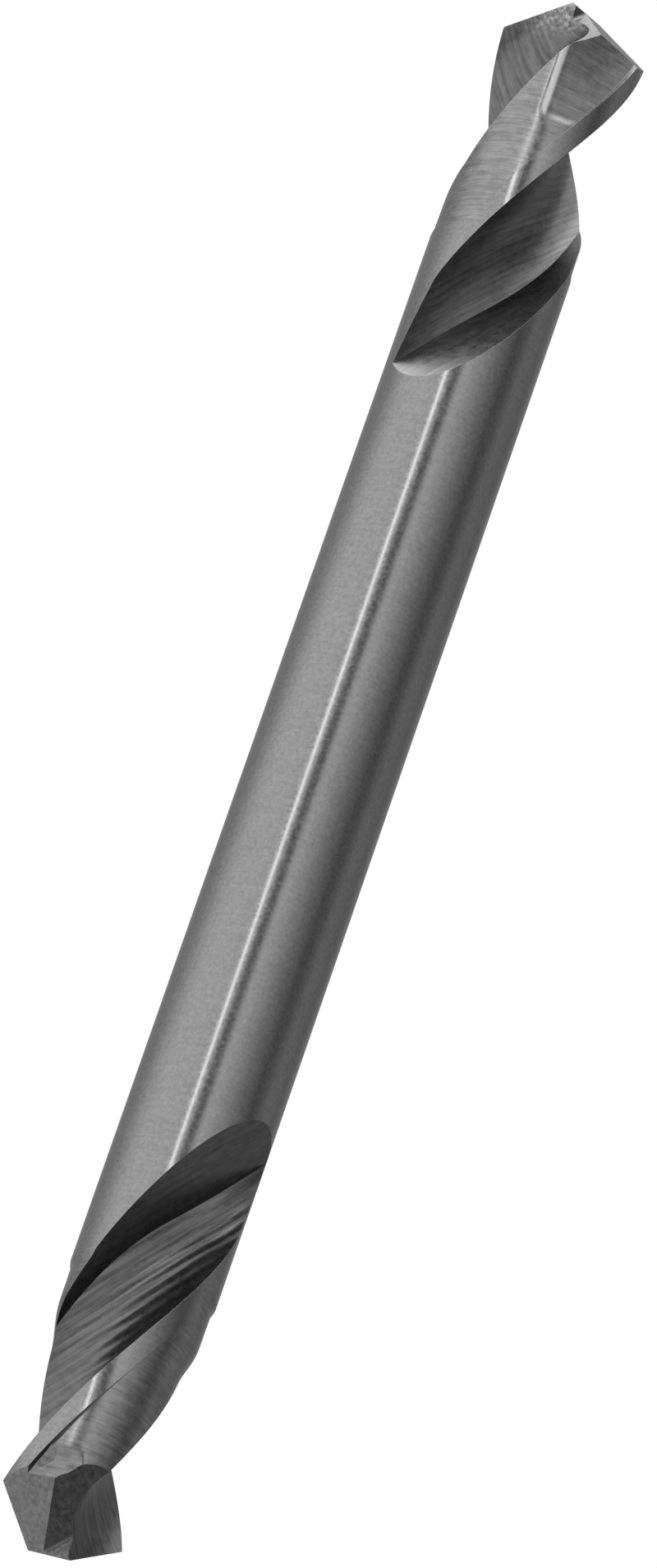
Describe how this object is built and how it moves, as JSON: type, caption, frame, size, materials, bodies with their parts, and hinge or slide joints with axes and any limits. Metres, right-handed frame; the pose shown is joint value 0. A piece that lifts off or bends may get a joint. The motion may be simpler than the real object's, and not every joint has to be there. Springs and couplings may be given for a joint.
{
  "type": "double-ended drill bit",
  "caption": "Short twist drill in one piece of ground steel: a plain round shank with a right-hand fluted split point at each end.",
  "frame": {"origin": "centre of the shank, on the drill's axis, halfway between the two tips", "axes": "+Z along the drill's axis, towards one tip; -Y is the side that the picture shows"},
  "size_m": [0.0048, 0.0048, 0.0572],
  "materials": {
    "ground_steel": "bright ground high speed steel, with fine grinding lines"
  },
  "bodies": {
    "root": {"double_ended_drill": "ground_steel"}
  },
  "joints": []
}
